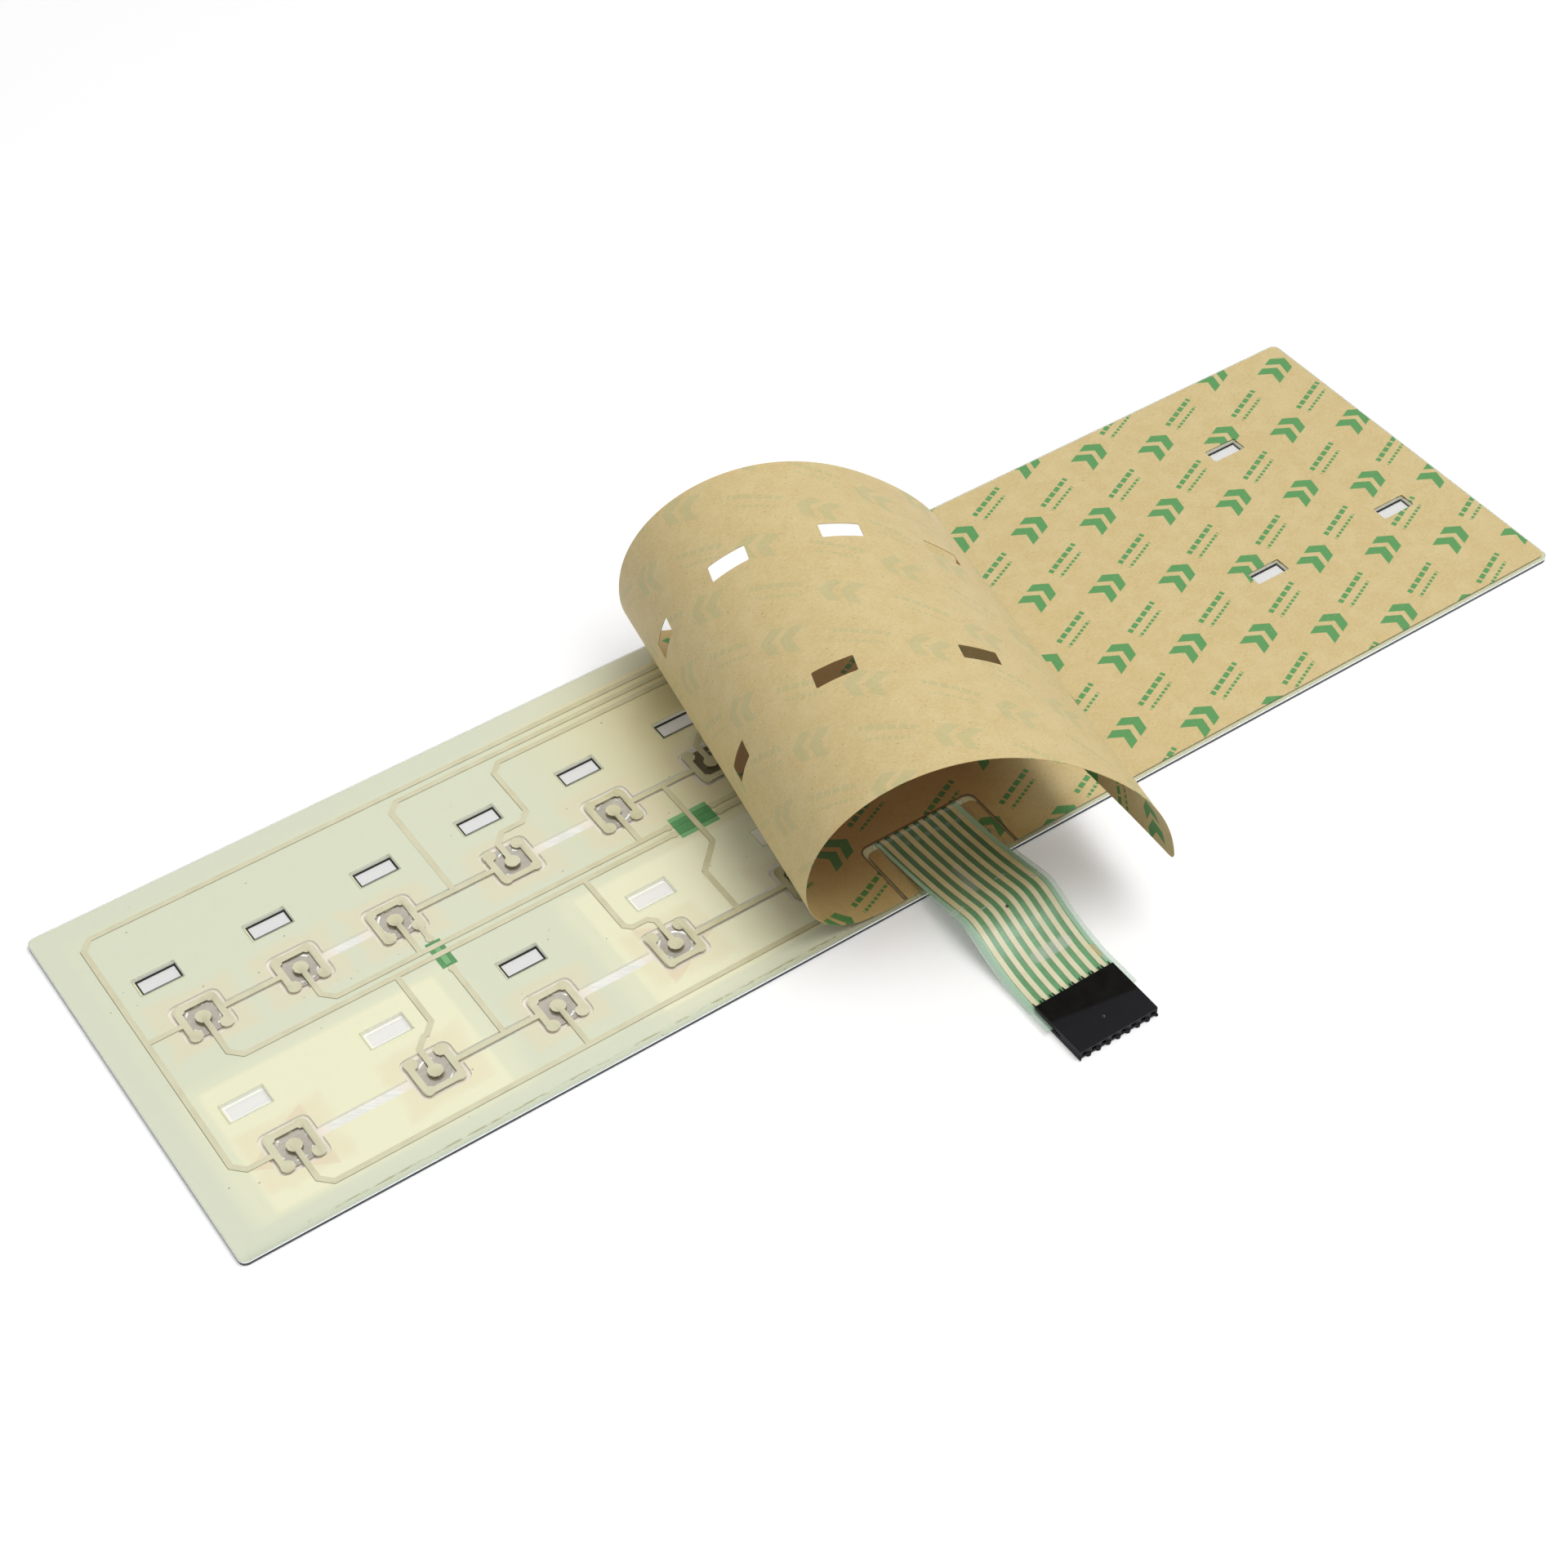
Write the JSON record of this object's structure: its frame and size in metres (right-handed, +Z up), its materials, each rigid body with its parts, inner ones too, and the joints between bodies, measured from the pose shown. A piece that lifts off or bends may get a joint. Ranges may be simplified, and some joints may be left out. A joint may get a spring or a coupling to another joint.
{
  "type": "membrane keypad",
  "caption": "Flat membrane keypad panel, back up, with film tail and crimped connector, its kraft release liner peeled halfway and curled over.",
  "frame": {"origin": "centre of the overlay's outer face, which lies on the table", "axes": "+X along the panel's long side towards the covered end, +Y across the panel away from the tail, +Z up, out of the panel's back"},
  "size_m": [0.343, 0.149, 0.0569],
  "materials": {
    "overlay_ink": "printed polyester sheet",
    "clear_adhesive": "clear transfer adhesive",
    "spacer_film": "painted polyester spacer",
    "clear_film": "clear polyester film",
    "silver_ink": "printed silver ink",
    "green_coat": "printed insulating ink",
    "dome_steel": "stainless spring steel",
    "kraft_paper": "coated kraft paper",
    "black_plastic": "moulded thermoplastic, satin",
    "contact_tin": "tin plated"
  },
  "bodies": {
    "root": {"circuit_film": "clear_film", "column_line_1": "silver_ink", "column_line_1_far": "silver_ink", "column_line_2": "silver_ink", "column_line_2_far": "silver_ink", "column_line_2_left": "silver_ink", "column_line_3": "silver_ink", "column_line_3_far": "silver_ink", "column_line_3_left": "silver_ink", "column_line_4": "silver_ink", "column_line_4_far": "silver_ink", "connector_housing": "black_plastic", "contact_1": "contact_tin", "contact_2": "contact_tin", "contact_3": "contact_tin", "contact_4": "contact_tin", "contact_5": "contact_tin", "contact_6": "contact_tin", "contact_7": "contact_tin", "contact_8": "contact_tin", "dome_spacer": "spacer_film", "insulating_patch_1": "green_coat", "insulating_patch_2": "green_coat", "insulating_patch_3": "green_coat", "jumper_1": "silver_ink", "jumper_2": "silver_ink", "jumper_3": "silver_ink", "jumper_4": "silver_ink", "jumper_5": "silver_ink", "jumper_6": "silver_ink", "jumper_7": "silver_ink", "liner_tab": "kraft_paper", "overlay": "overlay_ink", "overlay_adhesive": "clear_adhesive", "rear_adhesive": "clear_adhesive", "release_liner": "kraft_paper", "row_line_1": "silver_ink", "row_line_2": "silver_ink", "row_line_2_lower": "silver_ink", "row_line_3": "silver_ink", "row_line_4": "silver_ink", "snap_dome_1": "dome_steel", "snap_dome_10": "dome_steel", "snap_dome_11": "dome_steel", "snap_dome_12": "dome_steel", "snap_dome_13": "dome_steel", "snap_dome_14": "dome_steel", "snap_dome_15": "dome_steel", "snap_dome_2": "dome_steel", "snap_dome_3": "dome_steel", "snap_dome_4": "dome_steel", "snap_dome_5": "dome_steel", "snap_dome_6": "dome_steel", "snap_dome_7": "dome_steel", "snap_dome_8": "dome_steel", "snap_dome_9": "dome_steel", "tab_adhesive": "clear_adhesive", "tail_cover_coat": "green_coat"}
  },
  "joints": []
}
